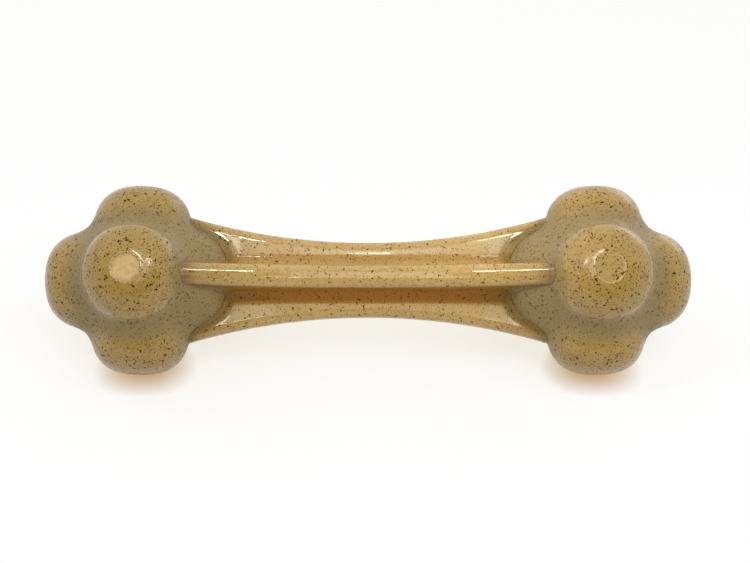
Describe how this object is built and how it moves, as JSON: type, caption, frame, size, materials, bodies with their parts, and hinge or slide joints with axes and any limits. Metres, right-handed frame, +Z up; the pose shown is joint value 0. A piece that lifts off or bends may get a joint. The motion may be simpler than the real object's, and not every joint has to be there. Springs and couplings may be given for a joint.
{
  "type": "knuckle chew bone",
  "caption": "Dog chew bone in fibre-speckled nylon: a polished cross-ribbed shaft, waisted at the middle, with a satin, lobed knuckle moulded over each end.",
  "frame": {"origin": "on the table, under the middle of the bone as it lies on two lobes of each knuckle", "axes": "+X along the bone, to the right in the picture; +Y away from the picture's viewer; +Z up"},
  "size_m": [0.178, 0.0474, 0.0473],
  "materials": {
    "polished_nylon": "polished",
    "satin_nylon": "satin"
  },
  "bodies": {
    "root": {"ribbed_shaft": "polished_nylon", "left_knuckle": "satin_nylon", "right_knuckle": "satin_nylon"}
  },
  "joints": []
}
